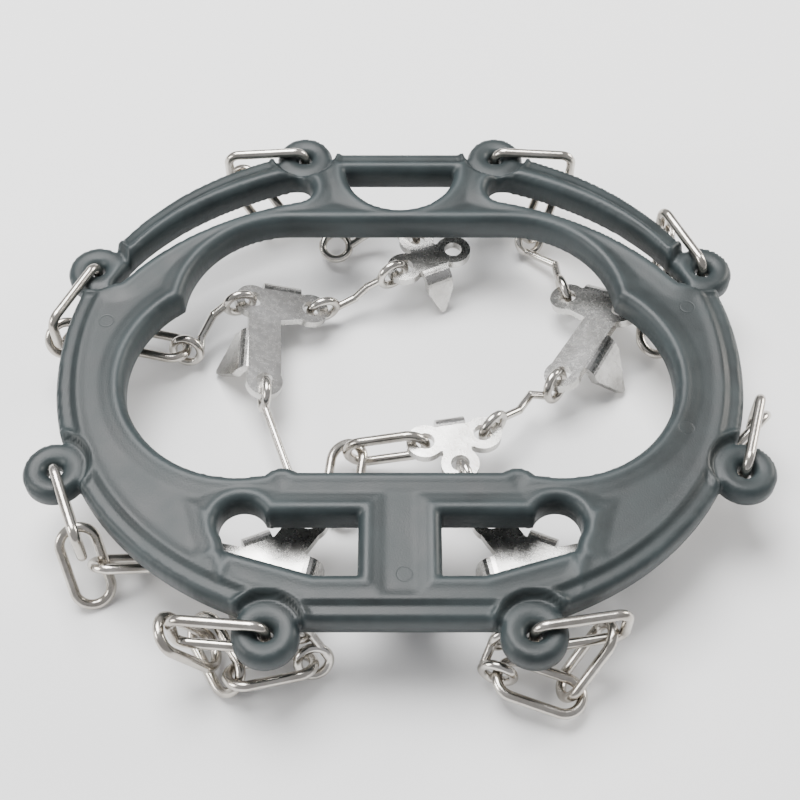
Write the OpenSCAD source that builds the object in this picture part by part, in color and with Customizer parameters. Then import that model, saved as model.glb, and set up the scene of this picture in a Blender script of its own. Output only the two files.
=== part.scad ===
// Microspikes: an elastic harness with eight lugs that carries chain links,
// bent wire links and sheet-metal spike plates under a boot.
// +X is the wearer's right, +Y points to the toe, +Z is up.
// The origin is on the ground, under the middle of the boot opening.

/* [Harness] */
// Width of the harness band, outer edge to outer edge
harness_w = 151; // [145:1:157]
// Distance from the centre to the toe and heel ends of the full outline
half_length = 66.5; // [65:0.5:68]
// Thickness of the moulded band
band_t = 7; // [6:0.1:7]
// Height of the underside of the band above the ground
band_z = 16; // [16:0.5:18]
// Straight toe edge, measured from the centre
toe_edge = 63; // [62:0.5:64]
// Straight heel edge, measured from the centre
heel_edge = 64; // [63:0.5:65]
// Half of the boot opening's width
opening_half_w = 60.5; // [59:0.5:61]
// Toe side of the boot opening, measured from the centre
opening_toe = 40; // [39:0.5:41]
// Heel side of the boot opening, measured from the centre
opening_heel = 29.7; // [29:0.1:31]

/* [Lugs] */
// Radius of each round lug
lug_r = 6.75; // [6.5:0.05:7]
// Radius of the hole through each lug
lug_hole_r = 1.75; // [1.7:0.01:1.9]
// Thickness of each lug, less than the band's, so that its link can hang low
lug_t = 5; // [4.6:0.1:5.2]
// How far the shallow recess round a lug reaches past the lug's own edge
recess_margin = 1.2; // [0.6:0.1:1.4]

/* [Chain] */
// Diameter of the chain wire
chain_d = 2.2; // [2:0.1:2.3]
// Outside length of a chain link
link_len = 20; // [19.5:0.1:20.5]
// Outside width of a chain link
link_w = 10; // [9.8:0.1:10.4]
// Outside length of a lug link
lug_link_len = 21; // [20.5:0.1:21.5]
// Outside width of a lug link
lug_link_w = 12.2; // [12.2:0.1:12.6]
// Diameter of the bent wire links
wire_d = 2; // [1.8:0.1:2]
// Mean radius of the eye at each end of a bent wire link
eye_r = 3.3; // [3.2:0.1:3.4]

/* [Spike plates] */
// Thickness of the sheet
sheet_t = 2; // [1.6:0.1:2]
// Radius of the ear round each hole
ear_r = 4.2; // [4:0.1:4.2]
// Radius of each hole for a link
ear_hole_r = 2.1; // [2:0.05:2.2]
// Width of a spike where it leaves the sheet
spike_w = 11; // [9:0.5:12]
// Length of a spike from the bend to its point
spike_len = 9; // [7:0.5:9]

/* [Hidden] */
$fn = 48;

harness_colour = [0.12, 0.15, 0.16];
steel_colour = [0.75, 0.74, 0.72];
outline_power = 2.1;
outline_points = 120;
cut = 1;
gap = 0.3;
chain_pitch = link_len - chain_d;
lug_pitch = lug_link_len - chain_d;
hook = chain_d + gap;
// A lug link rests with its upper side on the lug
lug_link_z = band_z + lug_t + gap + chain_d / 2 - (lug_link_w - chain_d) / 2;

// A pose is [place of a piece's own origin, [roll, pitch, yaw] in degrees].
module at_pose(pose) {
    translate(pose[0]) rotate(pose[1]) children();
}
function roll_x(v, a) = [v[0], v[1] * cos(a) - v[2] * sin(a), v[1] * sin(a) + v[2] * cos(a)];
function pitch_y(v, a) = [v[0] * cos(a) + v[2] * sin(a), v[1], v[2] * cos(a) - v[0] * sin(a)];
function yaw_z(v, a) = [v[0] * cos(a) - v[1] * sin(a), v[0] * sin(a) + v[1] * cos(a), v[2]];
function turned(v, angles) = yaw_z(pitch_y(roll_x(v, angles[0]), angles[1]), angles[2]);
function on(pose, v) = pose[0] + turned(v, pose[1]);
// The far end of a link whose near end is at its pose's origin
function tip(pose, pitch) = on(pose, [pitch, 0, 0]);
// How far back from a wire's centre a link's own end lies, so that the two just miss
function hook_reach(angles, wire) = let (
    along = turned([1, 0, 0], angles),
    across = cross(wire, turned([0, 1, 0], angles))
) hook * norm(across) / abs(across * along);
// A link hooked round a wire at a point, leaving it in the direction of its own angles
function hooked(point, angles, wire) = [point - turned([hook_reach(angles, wire), 0, 0], angles), angles];
// The direction of the wire at a link's ends, and of its long sides
function end_wire(pose) = turned([0, 1, 0], pose[1]);
function side_wire(pose) = turned([1, 0, 0], pose[1]);

// ---------- places of the lugs, left side; the right side mirrors them ----------
toe_lug = [23.5, 63];
fore_lug = [70.5, 27];
rear_lug = [73, -28];
heel_lug = [26.5, -65.5];
function left_of(p) = [-p[0], p[1]];

// ---------- harness ----------
function outline_x(a) = harness_w / 2 * sign(cos(a)) * pow(abs(cos(a)), 2 / outline_power);
function outline_y(a) = half_length * sign(sin(a)) * pow(abs(sin(a)), 2 / outline_power);
function clipped(y) = max(-heel_edge, min(toe_edge, y));

module outer_outline() {
    polygon([for (i = [0 : outline_points - 1])
        let (a = 360 * i / outline_points) [outline_x(a), clipped(outline_y(a))]]);
}

// Boot opening: a wide lobe at each side, a toe part with round corners and a straight
// heel edge between two small rounded bumps
side_lobe_r = 26.5;
side_lobe_y = -4.5;
toe_corner_r = 24;
toe_corner_x = 25.5;
bump_r = 5;
bump_x = 24.5;
bump_rise = 1;

module boot_opening() {
    difference() {
        union() {
            for (side = [-1, 1]) {
                translate([side * (opening_half_w - side_lobe_r), side_lobe_y]) circle(side_lobe_r, $fn = 96);
                translate([side * toe_corner_x, opening_toe - toe_corner_r]) circle(toe_corner_r, $fn = 96);
            }
            translate([-toe_corner_x, -opening_heel]) square([2 * toe_corner_x, opening_toe + opening_heel]);
            translate([-opening_half_w + side_lobe_r, -opening_heel])
                square([2 * (opening_half_w - side_lobe_r), opening_heel]);
        }
        for (side = [-1, 1])
            translate([side * bump_x, -opening_heel + bump_rise - bump_r]) circle(bump_r);
    }
}

// Toe slot: a bow towards the opening, closed by a straight toe side
toe_slot_r = 13.2;
toe_slot_low = 44;
toe_slot_high = 56.5;
module toe_slot() {
    intersection() {
        translate([0, toe_slot_low + toe_slot_r]) circle(toe_slot_r);
        translate([-toe_slot_r, toe_slot_low - cut])
            square([2 * toe_slot_r, toe_slot_high - toe_slot_low + cut]);
    }
}

// Side slot: follows the outline from the toe to the side and tapers as it goes
slot_start = 69;
slot_end = 23;
slot_steps = 16;
slot_wide = 4.3;
slot_narrow = 1.3;
function slot_angle(i) = slot_start + (slot_end - slot_start) * i / slot_steps;
function slot_half(i) = slot_narrow + (slot_wide - slot_narrow) * pow(1 - i / slot_steps, 0.7);
function slot_mid(i) = [70.5 * cos(slot_angle(i)), 51.5 * sin(slot_angle(i)) + 2.5];
function slot_out(i) = [cos(slot_angle(i)) * 0.8, sin(slot_angle(i))];
module side_slot() {
    polygon(concat(
        [for (i = [0 : slot_steps]) slot_mid(i) + slot_half(i) * slot_out(i)],
        [for (i = [slot_steps : -1 : 0]) slot_mid(i) - slot_half(i) * slot_out(i)]));
    translate(slot_mid(0)) circle(slot_half(0));
    translate(slot_mid(slot_steps)) circle(slot_half(slot_steps), $fn = 24);
}

// Heel keyhole: a square inner end, a straight lower edge and a round bulb at the outer end
bulb = [32.4, -42];
bulb_r = 5.1;
key_in = 8.5;
key_high = -40.2;
key_low = -53.9;
module heel_keyhole() {
    polygon([[key_in, key_high], [26, key_high], bulb, [37.5, bulb[1]], [35.4, -48.3], [17.2, key_low],
        [key_in, key_low]]);
    translate(bulb) circle(bulb_r);
}

lugs = [toe_lug, fore_lug, rear_lug, heel_lug];
// Its children at the place of every lug, left and right
module at_lugs() {
    for (place = lugs) {
        for (side = [-1, 1]) translate([side * place[0], place[1], band_z]) children();
    }
}

module harness() {
    color(harness_colour) difference() {
        union() {
            difference() {
                translate([0, 0, band_z]) linear_extrude(band_t) outer_outline();
                at_lugs() translate([0, 0, lug_t]) cylinder(h = band_t, r = lug_r + recess_margin);
            }
            at_lugs() cylinder(h = lug_t, r = lug_r);
        }
        translate([0, 0, band_z - cut]) linear_extrude(band_t + 2 * cut) {
            boot_opening();
            toe_slot();
            side_slot();
            mirror([1, 0]) side_slot();
            heel_keyhole();
            mirror([1, 0]) heel_keyhole();
        }
        at_lugs() translate([0, 0, -cut]) cylinder(h = band_t + 2 * cut, r = lug_hole_r);
    }
}

// ---------- links ----------
// A quarter of a ring of wire in the XY plane, from the +X axis to the +Y axis
module quarter_ring(r, d) {
    rotate_extrude(angle = 90) translate([r, 0]) circle(d = d, $fn = 24);
}
module half_ring(r, d) {
    rotate([0, 0, 90]) rotate_extrude(angle = 180) translate([r, 0]) circle(d = d, $fn = 24);
}
// A bar of wire along +X
module bar(length, d) {
    rotate([0, 90, 0]) cylinder(h = length, d = d, $fn = 24);
}

// Welded oval link: near end at the origin, long way along +X, flat in the XY plane
module oval_link() {
    r = (link_w - chain_d) / 2;
    straight = link_len - link_w;
    color(steel_colour) union() {
        translate([r, 0, 0]) half_ring(r, chain_d);
        translate([r + straight, 0, 0]) rotate([0, 0, 180]) half_ring(r, chain_d);
        for (side = [-1, 1]) translate([r, side * r, 0]) bar(straight, chain_d);
    }
}

// Lug link: squarer ends, so that the straight end passes through a lug
lug_corner_r = 2.6;
module lug_link() {
    half = (lug_link_w - chain_d) / 2;
    flat = half - lug_corner_r;
    straight = lug_pitch - 2 * lug_corner_r;
    color(steel_colour) union() {
        for (side = [-1, 1]) {
            translate([lug_corner_r, side * half, 0]) bar(straight, chain_d);
        }
        for (end = [0, lug_pitch]) {
            translate([end, -flat, 0]) rotate([-90, 0, 0]) cylinder(h = 2 * flat, d = chain_d, $fn = 24);
        }
        translate([lug_pitch - lug_corner_r, flat, 0]) quarter_ring(lug_corner_r, chain_d);
        translate([lug_corner_r, flat, 0]) rotate([0, 0, 90]) quarter_ring(lug_corner_r, chain_d);
        translate([lug_corner_r, -flat, 0]) rotate([0, 0, 180]) quarter_ring(lug_corner_r, chain_d);
        translate([lug_pitch - lug_corner_r, -flat, 0]) rotate([0, 0, 270]) quarter_ring(lug_corner_r, chain_d);
    }
}

// ---------- bent wire links ----------
// The straight runs are a little thinner than the eyes and the bends, so that no two surfaces are tangent
run_d = wire_d - 0.1;
module wire_piece(a, b) {
    step = b - a;
    run = norm(step);
    translate(a) rotate([0, acos(step[2] / run), atan2(step[1], step[0])])
        cylinder(h = run, d = run_d, $fn = 24);
}
// Straight runs of wire with a ball at each bend
module wire_run(points) {
    for (i = [0 : len(points) - 2]) wire_piece(points[i], points[i + 1]);
    for (i = [1 : len(points) - 2]) translate(points[i]) sphere(d = wire_d, $fn = 24);
}

// ---------- spike plates ----------
bend_r = 1.6;
bend_steps = 6;
spike_shoulder = 2;
spike_point_w = 1;
// How far the end of an arm stands out beside the root of its spike
root_step = 0.4;
bar_w = 7.6;
// Flat shapes of a plate's sheet: an ear, the hole through it, and a strip between two points
module ear(p) {
    translate(p) circle(ear_r);
}
module ear_hole(p) {
    translate(p) circle(ear_hole_r);
}
module arm(a, b, w) {
    step = b - a;
    translate(a) rotate(atan2(step[1], step[0])) translate([0, -w / 2]) square([norm(step), w]);
}
module sheet() {
    translate([0, 0, -sheet_t / 2]) linear_extrude(sheet_t) children();
}
// A point on the bend, seen from the side, at a distance from the bend's centre
function bend_point(r, a) = [r * sin(a), r * cos(a)];
// A spike that is bent down from the edge of the sheet at a point, facing an angle:
// a bent strip of full width, with both sides cut back to the point
module spike(p, facing, bend, length, w) {
    down = length * [cos(bend), -sin(bend)];
    over = [for (i = [0 : bend_steps]) bend_point(bend_r + sheet_t, bend * i / bend_steps)];
    under = [for (i = [bend_steps : -1 : 0]) bend_point(bend_r, bend * i / bend_steps)];
    shoulder = [spike_shoulder, w / 2];
    corner = [length, spike_point_w / 2];
    past = cut * (corner - shoulder) / norm(corner - shoulder);
    start = shoulder - past;
    end = corner + past;
    translate([p[0], p[1], -sheet_t / 2 - bend_r]) rotate([0, 0, facing]) difference() {
        translate([0, w / 2, 0]) rotate([90, 0, 0]) linear_extrude(w)
            polygon(concat([[-cut, bend_r], [-cut, bend_r + sheet_t]], over,
                [over[bend_steps] + down, under[0] + down], under));
        for (side = [-1, 1])
            rotate([0, bend, 0]) translate([0, 0, bend_r - cut]) linear_extrude(sheet_t + 2 * cut)
                polygon([[start[0], side * start[1]], [start[0], side * w], [end[0], side * w],
                    [end[0], side * end[1]]]);
    }
}

// Forefoot plate, left: two ears on a bar at the toe, one at the foot of the leg
fore_a = [-7, 9];
fore_b = [7, 9];
fore_c = [-3, -14];
fore_knee = [-4, 6];
fore_spike_w = spike_w + 1;
module forefoot_plate() {
    color(steel_colour) union() {
        sheet() difference() {
            union() {
                ear(fore_a);
                ear(fore_b);
                ear(fore_c);
                arm(fore_a, fore_b, bar_w);
                arm(fore_knee, fore_c, bar_w);
                arm(fore_knee, fore_b, 6);
                arm([-6, -5], [-2, -5], fore_spike_w);
            }
            ear_hole(fore_a);
            ear_hole(fore_b);
            ear_hole(fore_c);
        }
        spike([-6, -5], 180, 70, spike_len + 1.5, fore_spike_w - 2 * root_step);
        spike([0, fore_a[1] + bar_w / 2], 90, 80, spike_len - 2.5, 9);
    }
}

// Heel plate, left: a hub with three arms and three spikes between them
heel_hub_r = 6.4;
heel_ears = [[0, 13.5], [-13, -5], [13, -5]];
heel_low_spike = [0, -6.5];
heel_side_spikes = [35, 145];
heel_side_spike_w = 7;
function heel_root(a) = 7 * [cos(a), sin(a)];
module heel_plate() {
    color(steel_colour) union() {
        sheet() difference() {
            union() {
                circle(heel_hub_r);
                for (p = heel_ears) {
                    ear(p);
                    arm([0, 0], p, bar_w);
                }
                arm([0, 0], heel_low_spike, spike_w - 1);
                for (a = heel_side_spikes) arm([0, 0], heel_root(a), heel_side_spike_w);
            }
            for (p = heel_ears) ear_hole(p);
        }
        spike(heel_low_spike, 270, 85, spike_len - 1, spike_w - 1 - 2 * root_step);
        for (a = heel_side_spikes) spike(heel_root(a), a, 85, spike_len - 1, heel_side_spike_w - 2 * root_step);
    }
}

// Small centre plate: three ears and one spike
centre_ears = [[-6.5, 0], [6.5, 0], [0, 7]];
centre_bar_w = 6.4;
module centre_plate() {
    color(steel_colour) union() {
        sheet() difference() {
            union() {
                for (p = centre_ears) ear(p);
                arm(centre_ears[0], centre_ears[1], centre_bar_w);
                arm([0, 0], centre_ears[2], centre_bar_w);
            }
            for (p = centre_ears) ear_hole(p);
        }
        spike([0, -centre_bar_w / 2], 270, 75, spike_len - 0.5, 6.5);
    }
}

// ---------- where each piece lies ----------
function mirrored(pose) = [[-pose[0][0], pose[0][1], pose[0][2]], [-pose[1][0], pose[1][1], 180 - pose[1][2]]];
function at_lug(place, yaw) = [[place[0], place[1], lug_link_z], [90, 0, yaw]];
// A point on the lower side wire of a lug link, at a distance from the lug
function side_low(pose, along) = on(pose, [along, -(lug_link_w - chain_d) / 2, 0]);

// The middle of the bend between a chain link's far end and its +Y side
function end_corner(pose) = let (r = (link_w - chain_d) / 2)
    on(pose, [chain_pitch - r * (1 - cos(45)), r * sin(45), 0]);
function corner_wire(pose) = turned([cos(45), -sin(45), 0], pose[1]);

toe_left = at_lug(left_of(toe_lug), 184);
toe_right = at_lug(toe_lug, -4);
fore_left = at_lug(left_of(fore_lug), 245);
fore_right = at_lug(fore_lug, 114);
rear_left = at_lug(left_of(rear_lug), -68);
rear_right = at_lug(rear_lug, 73);
heel_left = at_lug(left_of(heel_lug), 175);
heel_right = at_lug(heel_lug, 9);

toe_left_1 = hooked(side_low(toe_left, 15.5), [60, 28, 315], side_wire(toe_left));
toe_right_1 = hooked(side_low(toe_right, 14.5), [45, 32, 245], side_wire(toe_right));
fore_left_1 = hooked(side_low(fore_left, 15.5), [60, 24, 20], side_wire(fore_left));
fore_left_2 = hooked(tip(fore_left_1, chain_pitch), [-15, 5, 350], end_wire(fore_left_1));
fore_right_1 = hooked(side_low(fore_right, 15.5), [75, 21, 262], side_wire(fore_right));
fore_right_2 = hooked(tip(fore_right_1, chain_pitch), [-15, 16, 262], end_wire(fore_right_1));
rear_left_1 = hooked(side_low(rear_left, 14), [0, 50, -68], side_wire(rear_left));
rear_left_2 = hooked(on(rear_left_1, [10, (link_w - chain_d) / 2, 0]), [-45, 10, 8], side_wire(rear_left_1));
rear_right_1 = hooked(side_low(rear_right, 15.5), [75, 24, 220], side_wire(rear_right));
rear_right_2 = hooked(tip(rear_right_1, chain_pitch), [-15, 8, 210], end_wire(rear_right_1));
heel_left_1 = hooked(on(heel_left, [lug_pitch, -2.3, 0]), [0, 56, 8], end_wire(heel_left));
heel_left_2 = hooked(tip(heel_left_1, chain_pitch), [45, 0, -60], end_wire(heel_left_1));
heel_left_3 = hooked(end_corner(heel_left_2), [-30, 4, 14], corner_wire(heel_left_2));
heel_right_1 = hooked(side_low(heel_right, 14.5), [45, 42, -136], side_wire(heel_right));
heel_right_2 = hooked(end_corner(heel_right_1), [0, -6, 162], corner_wire(heel_right_1));

fore_plate_l = [[-28.3, 16.3, 8.8], [0, 15, 0]];
fore_plate_r = mirrored([[-41.9, 17.7, 8.8], [0, 15, 30]]);
toe_centre = [[7, 38, 10.7], [0, 0, 25]];
arch_centre = [[12, -14, 10.7], [0, 0, 190]];
heel_plate_l = [[-27, -47, 10.7], [0, 0, 78]];
heel_plate_r = mirrored([[-27, -47, 10.7], [0, 0, 78]]);
function flip(p) = [p[0], -p[1]];
// Where the hole of an ear is, on a plate at a pose
function ear_place(pose, ear) = on(pose, [ear[0], ear[1], 0]);

arch_link_pose = [ear_place(arch_centre, centre_ears[1]), [90, 14, 180]];
arch_ring_pose = hooked(tip(arch_link_pose, chain_pitch), [20, 12, 262], end_wire(arch_link_pose));

// An eye through an ear's hole, reaching out at an angle in the plate's own frame
module ear_eye(pose, ear, out) {
    at_pose(pose) translate([ear[0], ear[1], 0]) rotate([0, 0, out]) translate([eye_r, 0, 0])
        rotate([90, 0, 0]) ring_of_wire();
}
// An eye round the far end of a chain link
module link_eye(pose) {
    at_pose(pose) translate([chain_pitch, 0, 0]) rotate([90, 0, 0]) ring_of_wire();
}
module ring_of_wire() {
    rotate_extrude() translate([eye_r, 0]) circle(d = wire_d, $fn = 24);
}
function ear_out(pose, ear, out) = on(pose, [ear[0] + 2 * eye_r * cos(out), ear[1] + 2 * eye_r * sin(out), 0]);
function link_out(pose) = on(pose, [chain_pitch + eye_r, 0, 0]);

// ---------- bent wire links ----------
module fore_left_wire() {
    color(steel_colour) union() {
        link_eye(fore_left_2);
        ear_eye(fore_plate_l, fore_a, 200);
        wire_run([link_out(fore_left_2), [-47, 17.5, 7], [-44, 21, 11], ear_out(fore_plate_l, fore_a, 200)]);
    }
}
module toe_wire_left() {
    color(steel_colour) union() {
        ear_eye(fore_plate_l, fore_b, 20);
        ear_eye(toe_centre, centre_ears[0], 185);
        wire_run([ear_out(fore_plate_l, fore_b, 20), [-11, 30, 6], [-8, 31.5, 8.5],
            ear_out(toe_centre, centre_ears[0], 185)]);
    }
}
module toe_wire_far() {
    color(steel_colour) union() {
        ear_eye(toe_centre, centre_ears[2], 110);
        translate([-16, 48, 4.5]) rotate([25, 0, 0]) ring_of_wire();
        wire_run([ear_out(toe_centre, centre_ears[2], 110), [-5, 51, 8], [-9, 50, 6], [-12.7, 48, 4.5]]);
    }
}
module rear_left_wire() {
    color(steel_colour) union() {
        ear_eye(fore_plate_l, fore_c, 275);
        translate([-24, -24, 6]) rotate([0, 60, 0]) ring_of_wire();
        wire_run([ear_out(fore_plate_l, fore_c, 275), [-24.4, -20.7, 6]]);
    }
}
module fore_right_wire() {
    color(steel_colour) union() {
        link_eye(toe_right_1);
        ear_eye(fore_plate_r, flip(fore_b), -45);
        wire_run([link_out(toe_right_1), [38.5, 42, 4.5], ear_out(fore_plate_r, flip(fore_b), -45)]);
    }
}
module rear_right_wire() {
    color(steel_colour) union() {
        ear_eye(fore_plate_r, flip(fore_c), 85);
        ear_eye(arch_centre, centre_ears[0], 215);
        wire_run([ear_out(fore_plate_r, flip(fore_c), 85), [30, 0, 8], [27, -5, 9],
            ear_out(arch_centre, centre_ears[0], 215)]);
    }
}
module heel_left_wire() {
    color(steel_colour) union() {
        link_eye(heel_left_3);
        ear_eye(heel_plate_l, heel_ears[1], -82);
        wire_run([link_out(heel_left_3), ear_out(heel_plate_l, heel_ears[1], -82)]);
    }
}
module heel_right_wire() {
    color(steel_colour) union() {
        link_eye(heel_right_2);
        ear_eye(heel_plate_r, flip(heel_ears[1]), 100);
        wire_run([link_out(heel_right_2), ear_out(heel_plate_r, flip(heel_ears[1]), 100)]);
    }
}
// Its far eye stands clear of the heel plate's ear, where the net's ring is left open
open_eye = [49.2, -42, 10.9];
module arch_wire() {
    color(steel_colour) union() {
        ear_eye(arch_centre, centre_ears[2], 100);
        translate(open_eye) rotate([90, 0, 0]) ring_of_wire();
        wire_run([ear_out(arch_centre, centre_ears[2], 100), [23, -30, 14], [37, -32, 14],
            open_eye + [-eye_r * cos(45), 0, eye_r * sin(45)]]);
    }
}

// ---------- chain links and plates, each where it lies ----------
module lug_link_toe_left() { at_pose(toe_left) lug_link(); }
module lug_link_toe_right() { at_pose(toe_right) lug_link(); }
module lug_link_fore_left() { at_pose(fore_left) lug_link(); }
module lug_link_fore_right() { at_pose(fore_right) lug_link(); }
module lug_link_rear_left() { at_pose(rear_left) lug_link(); }
module lug_link_rear_right() { at_pose(rear_right) lug_link(); }
module lug_link_heel_left() { at_pose(heel_left) lug_link(); }
module lug_link_heel_right() { at_pose(heel_right) lug_link(); }
module toe_left_link() { at_pose(toe_left_1) oval_link(); }
module toe_right_link() { at_pose(toe_right_1) oval_link(); }
module fore_left_link_1() { at_pose(fore_left_1) oval_link(); }
module fore_left_link_2() { at_pose(fore_left_2) oval_link(); }
module fore_right_link_1() { at_pose(fore_right_1) oval_link(); }
module fore_right_link_2() { at_pose(fore_right_2) oval_link(); }
module rear_left_link_1() { at_pose(rear_left_1) oval_link(); }
module rear_left_link_2() { at_pose(rear_left_2) oval_link(); }
module rear_right_link_1() { at_pose(rear_right_1) oval_link(); }
module rear_right_link_2() { at_pose(rear_right_2) oval_link(); }
module heel_left_link_1() { at_pose(heel_left_1) oval_link(); }
module heel_left_link_2() { at_pose(heel_left_2) oval_link(); }
module heel_left_link_3() { at_pose(heel_left_3) oval_link(); }
module heel_right_link_1() { at_pose(heel_right_1) oval_link(); }
module heel_right_link_2() { at_pose(heel_right_2) oval_link(); }
module forefoot_plate_left() { at_pose(fore_plate_l) forefoot_plate(); }
module forefoot_plate_right() { at_pose(fore_plate_r) mirror([0, 1, 0]) forefoot_plate(); }
module toe_plate() { at_pose(toe_centre) centre_plate(); }
module arch_plate() { at_pose(arch_centre) centre_plate(); }
module heel_plate_left() { at_pose(heel_plate_l) heel_plate(); }
module heel_plate_right() { at_pose(heel_plate_r) mirror([0, 1, 0]) heel_plate(); }
module arch_link() { at_pose(arch_link_pose) oval_link(); }
module arch_ring() { at_pose(arch_ring_pose) oval_link(); }

harness();
lug_link_toe_left();
lug_link_toe_right();
lug_link_fore_left();
lug_link_fore_right();
lug_link_rear_left();
lug_link_rear_right();
lug_link_heel_left();
lug_link_heel_right();
toe_left_link();
toe_right_link();
fore_left_link_1();
fore_left_link_2();
fore_right_link_1();
fore_right_link_2();
rear_left_link_1();
rear_left_link_2();
rear_right_link_1();
rear_right_link_2();
heel_left_link_1();
heel_left_link_2();
heel_left_link_3();
heel_right_link_1();
heel_right_link_2();
forefoot_plate_left();
forefoot_plate_right();
toe_plate();
heel_plate_left();
heel_plate_right();
arch_plate();
fore_left_wire();
fore_right_wire();
toe_wire_left();
toe_wire_far();
rear_left_wire();
rear_right_wire();
heel_left_wire();
heel_right_wire();
arch_wire();
arch_link();
arch_ring();
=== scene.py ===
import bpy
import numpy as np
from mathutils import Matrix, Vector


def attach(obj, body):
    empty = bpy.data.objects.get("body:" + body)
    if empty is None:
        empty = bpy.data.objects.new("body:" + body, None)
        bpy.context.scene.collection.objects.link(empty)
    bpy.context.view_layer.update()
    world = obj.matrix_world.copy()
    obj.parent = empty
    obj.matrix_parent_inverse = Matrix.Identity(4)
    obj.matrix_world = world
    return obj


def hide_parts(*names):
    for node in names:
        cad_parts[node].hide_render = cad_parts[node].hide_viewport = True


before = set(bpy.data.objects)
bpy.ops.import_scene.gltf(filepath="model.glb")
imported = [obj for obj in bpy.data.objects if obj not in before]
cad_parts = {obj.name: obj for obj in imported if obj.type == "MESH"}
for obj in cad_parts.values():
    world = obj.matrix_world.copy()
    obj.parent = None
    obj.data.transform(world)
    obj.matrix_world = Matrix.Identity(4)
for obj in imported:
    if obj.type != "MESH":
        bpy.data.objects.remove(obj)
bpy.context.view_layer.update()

# %% [markdown]
# # Microspikes, looks on a fixed frame
# Microspikes are an elastic rubber harness that is pulled over a boot, with a net of
# welded chain links, bent wire links and bent sheet-metal spike plates below it.
# Here they lie on the ground, harness on top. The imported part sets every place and
# every joint; this script adds the moulded harness, the metal's finish and the light.

MM = 0.001


# %% [markdown]
# ## The harness's plan
# The real harness is one moulding of a soft thermoplastic or natural rubber: a band about
# 7 mm thick with a boot opening, a toe slot, two side slots, two heel keyholes and eight
# round lugs for the links. Its plan is written here as a signed distance: negative inside
# the material, positive outside. Each outline is a formula, so that the edge rounding,
# the raised rims and the outer step can all be read off the same distance.

# %% Distance to each outline
LUGS = np.array([[23.5, 63.0], [70.5, 27.0], [73.0, -28.0], [26.5, -65.5]])
LUG_R, LUG_HOLE_R = 6.75, 1.75
LUG_RECESS = 1.2
HALF_WIDTH, HALF_LENGTH, POWER = 75.5, 66.5, 2.1
TOE_EDGE, HEEL_EDGE = 63, 64


def circle(x, y, centre, radius):
    """Distance to a circle, negative inside it."""
    return np.hypot(x - centre[0], y - centre[1]) - radius


def rectangle(x, y, low, high):
    """Distance to a rectangle between two corners, negative inside it."""
    outside_x = np.maximum(low[0] - x, x - high[0])
    outside_y = np.maximum(low[1] - y, y - high[1])
    far = np.hypot(np.maximum(outside_x, 0), np.maximum(outside_y, 0))
    return far + np.minimum(np.maximum(outside_x, outside_y), 0)


def polygon(x, y, corners):
    """Distance to a convex polygon with its corners clockwise, as the greatest past any side."""
    corners = np.array(corners, float)
    side = np.roll(corners, -1, 0) - corners
    normal = np.stack([-side[:, 1], side[:, 0]], 1) / np.linalg.norm(side, axis=1)[:, None]
    past = [(x - c[0]) * n[0] + (y - c[1]) * n[1] for c, n in zip(corners, normal)]
    return np.max(past, 0)


def outline(x, y):
    """Distance to the outer outline: a superellipse cut straight at the toe and at the heel.

    The superellipse's radius ratio is divided by the length of its own gradient, which turns
    it into a distance near the edge."""
    u, v = np.abs(x) / HALF_WIDTH + 1e-6, np.abs(y) / HALF_LENGTH + 1e-6
    ratio = (u**POWER + v**POWER) ** (1 / POWER)
    slope_x = (u / ratio) ** (POWER - 1) / HALF_WIDTH
    slope_y = (v / ratio) ** (POWER - 1) / HALF_LENGTH
    distance = (ratio - 1) / np.hypot(slope_x, slope_y)
    return np.maximum.reduce([distance, y - TOE_EDGE, -HEEL_EDGE - y])


def lug_discs(x, y, radius):
    """Distance to the nearest of the eight lug circles of a given radius."""
    return np.min([circle(np.abs(x), y, lug, radius) for lug in LUGS], 0)


def boot_opening(x, y):
    """Distance to the boot opening: side lobes, round toe corners and two heel bumps."""
    ax = np.abs(x)
    whole = np.minimum.reduce([
        circle(ax, y, (34, -4.5), 26.5),
        circle(ax, y, (25.5, 16), 24),
        rectangle(x, y, (-25.5, -29.7), (25.5, 40)),
        rectangle(x, y, (-34, -29.7), (34, 0)),
    ])
    return np.maximum(whole, -circle(ax, y, (24.5, -33.7), 5))


def toe_slot(x, y):
    """Distance to the toe slot: a bow towards the opening, closed by a straight toe side."""
    return np.maximum(circle(x, y, (0, 57.2), 13.2), y - 56.5)


def side_slots(x, y):
    """Distance to the side slots: discs that follow an arc and shrink along it."""
    step = np.linspace(0, 1, 65)
    angle = np.radians(69 - 46 * step)
    half = 1.3 + 3.0 * (1 - step) ** 0.7
    middle = np.stack([70.5 * np.cos(angle), 51.5 * np.sin(angle) + 2.5], 1)
    return np.min([circle(np.abs(x), y, m, h * 0.98) for m, h in zip(middle, half)], 0)


def keyholes(x, y):
    """Distance to the heel keyholes: a square inner end and a round bulb at the outer end."""
    ax = np.abs(x)
    inner = polygon(ax, y, [(8.5, -40.2), (26, -40.2), (32.4, -42), (35.4, -48.3),
                            (17.2, -53.9), (8.5, -53.9)])
    outer = polygon(ax, y, [(32.4, -42), (37.5, -42), (35.4, -48.3)])
    return np.minimum.reduce([inner, outer, circle(ax, y, (32.4, -42), 5.1)])


def openings(x, y):
    """Distance to the nearest opening in the band, negative inside it."""
    return np.minimum.reduce([shape(x, y) for shape in (boot_opening, toe_slot, side_slots, keyholes)])


def material(x, y):
    """Distance to the harness's material, negative inside it."""
    body = np.minimum(outline(x, y), lug_discs(x, y, LUG_R))
    return np.maximum.reduce([body, -openings(x, y), -lug_discs(x, y, LUG_HOLE_R)])


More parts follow.
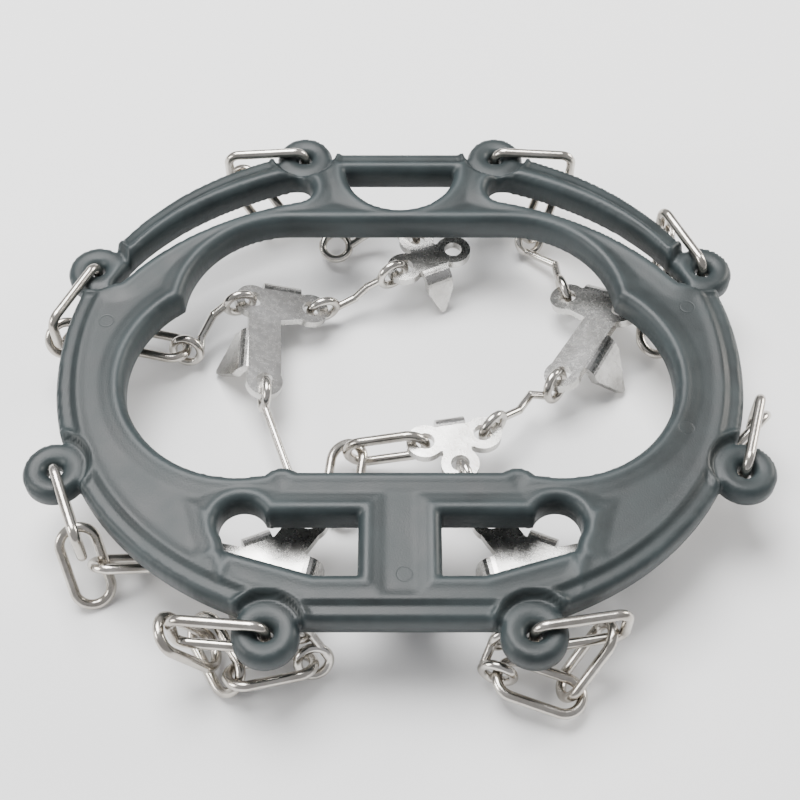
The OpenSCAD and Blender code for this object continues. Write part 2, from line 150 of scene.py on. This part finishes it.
# %% [markdown]
# ## The harness's surface
# A square grid is laid over the plan. The cells in the material are kept, the points on
# their border are pushed along the distance's slope until they lie on the true outline,
# and the points beside them are evened out. The upper and the lower sheet are then two
# heights over the same points: a real moulding is drawn the same way, as a plan with a
# rounded edge of about a millimetre, a raised rim where the rubber is stretched round an
# opening, and a lower step along the outer edge.

# %% Grid, border and heights
CELL = 0.62
GRID_WIDTH, GRID_LENGTH, GRID_START = 166, 150, -76
BAND_Z, BAND_TOP, LUG_TOP = 16.0, 23.0, 21.0
RIM_AT, TOP_ROUND, LOW_ROUND = 1.9, 1.3, 0.9


def slope_of(distance, x, y, step=0.02):
    """The distance's unit slope at each point, by central differences."""
    gx = distance(x + step, y) - distance(x - step, y)
    gy = distance(x, y + step) - distance(x, y - step)
    size = np.maximum(np.hypot(gx, gy), 1e-9)
    return gx / size, gy / size


def soft_step(value, low, high):
    """0 below low, 1 above high, smooth between."""
    t = np.clip((value - low) / (high - low), 0, 1)
    return t * t * (3 - 2 * t)


def round_over(depth, radius):
    """How far a quarter-round edge lies below the flat, at a depth in from the edge."""
    t = np.clip(1 - depth / radius, 0, 1)
    return radius * (1 - np.sqrt(1 - t * t))


def plan_mesh(cell):
    """Points (x, y), square cells that fill the material, and border edges on its outline.

    The border points walk down the distance's slope; the points next to them are averaged
    with their neighbours."""
    nx, ny = int(GRID_WIDTH / cell) // 2 * 2, int(GRID_LENGTH / cell)
    columns = (np.arange(nx + 1) - nx / 2) * cell
    rows = GRID_START + np.arange(ny + 1) * cell
    gx, gy = np.meshgrid(columns, rows, indexing="ij")
    x, y = gx.ravel(), gy.ravel()
    index = np.arange(len(x)).reshape(gx.shape)
    corners = [index[:-1, :-1], index[1:, :-1], index[1:, 1:], index[:-1, 1:]]
    cells = np.stack(corners, -1).reshape(-1, 4)
    depth = material(x, y)
    cells = cells[(depth[cells] < 0.3 * cell).all(1)]
    used, cells = np.unique(cells, return_inverse=True)
    cells = cells.reshape(-1, 4)
    x, y = x[used], y[used]
    edges = np.concatenate([cells[:, [a, (a + 1) % 4]] for a in range(4)])
    key = np.sort(edges, 1)
    _, first, count = np.unique(key, axis=0, return_index=True, return_counts=True)
    border = edges[first[count == 1]]
    on_border = np.zeros(len(x), bool)
    on_border[border.ravel()] = True
    for _ in range(6):
        sx, sy = slope_of(material, x[on_border], y[on_border])
        gap = material(x[on_border], y[on_border])
        x[on_border] -= sx * gap
        y[on_border] -= sy * gap
    near = ~on_border & (material(x, y) > -2.2 * cell)
    both = np.concatenate([key, key[:, ::-1]])
    for _ in range(8):
        total = np.zeros((len(x), 3))
        np.add.at(total, both[:, 0], np.stack([x[both[:, 1]], y[both[:, 1]], np.ones(len(both))], 1))
        x = np.where(near, total[:, 0] / total[:, 2], x)
        y = np.where(near, total[:, 1] / total[:, 2], y)
    return x, y, cells, border


def top_height(x, y, depth):
    """Height of the upper side: rounded edge, raised rims, outer step and lug recesses."""
    from_opening = openings(x, y)
    from_outside = -outline(x, y)
    rim = 0.42 * np.exp(-((from_opening - RIM_AT) ** 2))
    lug = -lug_discs(x, y, LUG_R + LUG_RECESS)
    away = 1 - soft_step(lug, -1.5, 0.2)
    step = 0.85 * (1 - soft_step(from_outside, 3.2, 4.4)) * away
    dish = 0.35 * soft_step(from_opening, 3.5, 6.0) * soft_step(from_outside, 4.5, 7.0)
    height = BAND_TOP + (rim - step - dish) * away
    centre = lug_discs(x, y, 0)
    crown = 0.35 * np.exp(-((centre - 4.6) / 1.4) ** 2)
    lug_face = LUG_TOP - 0.25 + crown - 0.5 * soft_step(centre, 6.2, 7.4)
    height = height + (lug_face - height) * soft_step(lug, -0.3, 1.1)
    return height - round_over(depth, TOP_ROUND)


def build_harness(cell):
    """Upper and lower sheet over the same plan points, joined by a wall along the border."""
    x, y, cells, border = plan_mesh(cell)
    depth = np.maximum(-material(x, y), 0)
    top = top_height(x, y, depth)
    low = BAND_Z + round_over(depth, LOW_ROUND)
    count = len(x)
    points = np.concatenate([np.stack([x, y, top], 1), np.stack([x, y, low], 1)])
    a, b = border[:, 0], border[:, 1]
    walls = np.stack([b, a, a + count, b + count], 1)
    faces = np.concatenate([cells, cells[:, ::-1] + count, walls])
    # Pale weight along the rounded edges and the raised rims, for the rubber's colour: part wear, part
    # painted highlight.
    edge = np.exp(-depth / 1.2)
    rim = np.exp(-((openings(x, y) - RIM_AT) / 0.9) ** 2)
    wear_and_highlight = np.clip(0.75 * edge + 0.45 * rim, 0, 1)
    return points * MM, faces, np.concatenate([wear_and_highlight, 0.6 * edge])


def mesh_piece(name, points, faces):
    """A smooth mesh object at the origin from point and four-sided face arrays."""
    mesh = bpy.data.meshes.new(name)
    mesh.vertices.add(len(points))
    mesh.vertices.foreach_set("co", points.astype(np.float32).ravel())
    mesh.loops.add(faces.size)
    mesh.loops.foreach_set("vertex_index", faces.astype(np.int32).ravel())
    mesh.polygons.add(len(faces))
    mesh.polygons.foreach_set("loop_start", np.arange(0, faces.size, 4, dtype=np.int32))
    mesh.polygons.foreach_set("use_smooth", np.ones(len(faces), bool))
    mesh.update(calc_edges=True)
    mesh.validate()
    piece = bpy.data.objects.new(name, mesh)
    bpy.context.scene.collection.objects.link(piece)
    return piece


points, faces, wear_and_highlight = build_harness(CELL)
harness = mesh_piece("harness_moulding", points, faces)
attribute = harness.data.attributes.new("wear_and_highlight", "FLOAT", "POINT")
attribute.data.foreach_set("value", wear_and_highlight.astype(np.float32))
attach(harness, "harness")
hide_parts("harness")
print("harness points", len(points), "faces", len(faces), "top, mm", round(points[:, 2].max() / MM, 2))

# %% [markdown]
# ## Materials
# All finishes are procedural and sit in the object's own coordinates, so they follow each
# piece when its joint turns. The shader sums are written with one small socket class.

# %% Socket class and nodes


class Socket:
    """A shader value that can be added, subtracted and multiplied like a number."""

    def __init__(self, graph, socket):
        self.graph, self.socket = graph, socket

    def _math(self, operation, *inputs):
        node = self.graph.tree.nodes.new("ShaderNodeMath")
        node.operation = operation
        for slot, value in zip(node.inputs, inputs):
            self.graph.put(slot, value)
        return Socket(self.graph, node.outputs[0])

    def __add__(self, other): return self._math("ADD", self, other)
    def __radd__(self, other): return self._math("ADD", other, self)
    def __sub__(self, other): return self._math("SUBTRACT", self, other)
    def __rsub__(self, other): return self._math("SUBTRACT", other, self)
    def __mul__(self, other): return self._math("MULTIPLY", self, other)
    def __rmul__(self, other): return self._math("MULTIPLY", other, self)
    def absolute(self): return self._math("ABSOLUTE", self)
    def clamp(self): return self._math("MINIMUM", self._math("MAXIMUM", self, 0.0), 1.0)


class Graph:
    """A material with one surface shader and the nodes that feed it."""

    def __init__(self, name):
        self.material = bpy.data.materials.new(name)
        self.material.use_nodes = True
        self.tree = self.material.node_tree
        self.shader = self.tree.nodes["Principled BSDF"]

    def put(self, slot, value):
        if isinstance(value, Socket):
            self.tree.links.new(value.socket, slot)
        else:
            slot.default_value = value

    def add(self, kind, settings=None, output=0, **inputs):
        """Any other node, from its type, its settings and its inputs by name or "second"."""
        node = self.tree.nodes.new("ShaderNode" + kind)
        for key, value in (settings or {}).items():
            setattr(node, key, value)
        for key, value in inputs.items():
            self.put(node.inputs[1] if key == "second" else node.inputs[key.replace("_", " ")], value)
        return Socket(self, node.outputs[output])

    def own(self):
        return self.add("TexCoord", output="Object")

    def noise(self, scale, detail=3.0, rough=0.5):
        return self.add("TexNoise", Vector=self.own(), Scale=scale, Detail=detail, Roughness=rough)

    def mix(self, amount, first, second):
        """One colour turning into another by an amount."""
        node = self.tree.nodes.new("ShaderNodeMix")
        node.data_type = "RGBA"
        self.put(node.inputs[0], amount)
        self.put(node.inputs[6], first)
        self.put(node.inputs[7], second)
        return Socket(self, node.outputs[2])

    def set(self, **values):
        for key, value in values.items():
            self.put(self.shader.inputs[key.replace("_", " ")], value)

    def bump(self, height, strength, distance):
        self.set(Normal=self.add("Bump", Height=height, Strength=strength, Distance=distance))


# %% [markdown]
# The rubber is filled black with a cool grey-green bloom. Its skin is satin and a little
# mottled by wax and dust, and paler along the edges and rims, part rubbed wear, part painted highlight.

# %% Rubber
EJECTORS = [(61, -19), (65, 14), (1, -54), (-66, 10)]
RING_R, RING_HALF = 1.6 * MM, 0.25 * MM
rubber = Graph("rubber")
cloud = rubber.noise(90.0, 4.0, 0.6)
grain = rubber.noise(2600.0, 2.0)
wear_highlight_weight = rubber.add("Attribute", {"attribute_name": "wear_and_highlight"}, output="Fac")
tone = rubber.mix((cloud * 1.8 - 0.4).clamp(), (0.0045, 0.0070, 0.0075, 1), (0.017, 0.025, 0.026, 1))
# Painted highlight and wear: the rubber turns paler where the edge and rim weight is high.
pale = (wear_highlight_weight * (0.25 + cloud) * 0.5).clamp()
rings = 0.0
for ex, ey in EJECTORS:
    spot = (ex * MM, ey * MM, 22.7 * MM)
    away = rubber.add("VectorMath", {"operation": "DISTANCE"}, "Value", Vector=rubber.own(), second=spot)
    rings = rings + (1 - (away - RING_R).absolute() * (1 / RING_HALF)).clamp()
rubber.set(Base_Color=rubber.mix(pale, tone, (0.060, 0.080, 0.086, 1)), Roughness=0.36 + 0.24 * cloud)
rubber.shader.inputs["Specular IOR Level"].default_value = 0.42
rubber.bump(0.5 * grain + 0.8 * cloud - 0.7 * rings, 0.22, 0.0003)
harness.data.materials.append(rubber.material)

# %% [markdown]
# The links and wires are bright drawn stainless steel, welded and then tumbled: soft
# reflections with a warm tint and fine marks. The plates are sheared and bent from
# stainless sheet, so they are flatter and a little greyer, with a rolled grain.

# %% Steel


def steel(name, dark, bright, low_rough, high_rough, grain_scale):
    """Tumbled stainless steel: cloudy tint and roughness, with fine marks in the surface."""
    graph = Graph(name)
    cloud = graph.noise(160.0, 3.0)
    marks = graph.noise(grain_scale, 4.0, 0.65)
    graph.set(Metallic=1.0, Base_Color=graph.mix((cloud * 1.5 - 0.25).clamp(), dark, bright),
              Roughness=low_rough + (high_rough - low_rough) * marks)
    graph.bump(marks + cloud, 0.10, 0.0002)
    return graph.material


chain_steel = steel("chain steel", (0.30, 0.27, 0.23, 1), (0.72, 0.69, 0.64, 1), 0.12, 0.32, 1500.0)
wire_steel = steel("wire steel", (0.34, 0.31, 0.27, 1), (0.74, 0.72, 0.68, 1), 0.10, 0.28, 1500.0)
plate_steel = steel("plate steel", (0.33, 0.32, 0.30, 1), (0.70, 0.69, 0.67, 1), 0.16, 0.36, 900.0)


def finish_of(node):
    """The finish of a node, from what the node is."""
    if "plate" in node:
        return plate_steel
    return wire_steel if "wire" in node else chain_steel


for name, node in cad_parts.items():
    node.data.materials.clear()
    node.data.materials.append(rubber.material if name == "harness" else finish_of(name))
print("materials:", sorted(m.name for m in bpy.data.materials if m.users))

# %% [markdown]
# ## Floor, light and camera
# A plain pale floor, a large soft light above and a weaker one at each side give the
# rubber a broad sheen and the steel bright and dark bands. The camera stands before the
# heel and looks down on the part.

# %% Floor and light


def area_light(name, place, target, size, power, colour):
    """A square soft light at a place, turned to a target."""
    light = bpy.data.lights.new(name, "AREA")
    light.shape, light.size = "SQUARE", size
    light.energy, light.color = power, colour
    lamp = bpy.data.objects.new(name, light)
    lamp.location = place
    lamp.rotation_euler = (Vector(target) - Vector(place)).to_track_quat("-Z", "Y").to_euler()
    bpy.context.scene.collection.objects.link(lamp)
    return lamp


paper = Graph("paper")
paper.set(Base_Color=(0.86, 0.86, 0.86, 1), Roughness=0.9)
corner = 3.0
floor_mesh = bpy.data.meshes.new("floor")
around = [(-corner, -corner, 0), (corner, -corner, 0), (corner, corner, 0), (-corner, corner, 0)]
floor_mesh.from_pydata(around, [], [(0, 1, 2, 3)])
floor = bpy.data.objects.new("floor", floor_mesh)
floor.data.materials.append(paper.material)
bpy.context.scene.collection.objects.link(floor)

centre = (0, 0, 0.012)
area_light("top light", (-0.15, 0.25, 0.75), centre, 0.5, 15.0, (1, 1, 1))
area_light("left light", (-0.70, -0.20, 0.35), centre, 0.3, 4.0, (1.0, 0.98, 0.95))
area_light("right light", (0.60, 0.30, 0.30), centre, 0.25, 4.0, (1.0, 0.96, 0.90))
world = bpy.data.worlds.new("studio")
world.use_nodes = True
world.node_tree.nodes["Background"].inputs["Color"].default_value = (0.95, 0.96, 1.0, 1)
world.node_tree.nodes["Background"].inputs["Strength"].default_value = 0.50
bpy.context.scene.world = world

# %% Camera
lens = bpy.data.cameras.new("camera")
lens.lens, lens.sensor_width = 63.9, 36.0
camera = bpy.data.objects.new("camera", lens)
camera.location = (0, -0.18772, 0.27395)
camera.rotation_euler = (Vector((0, -0.012, 0.023)) - camera.location).to_track_quat("-Z", "Y").to_euler()
bpy.context.scene.collection.objects.link(camera)
bpy.context.scene.camera = camera
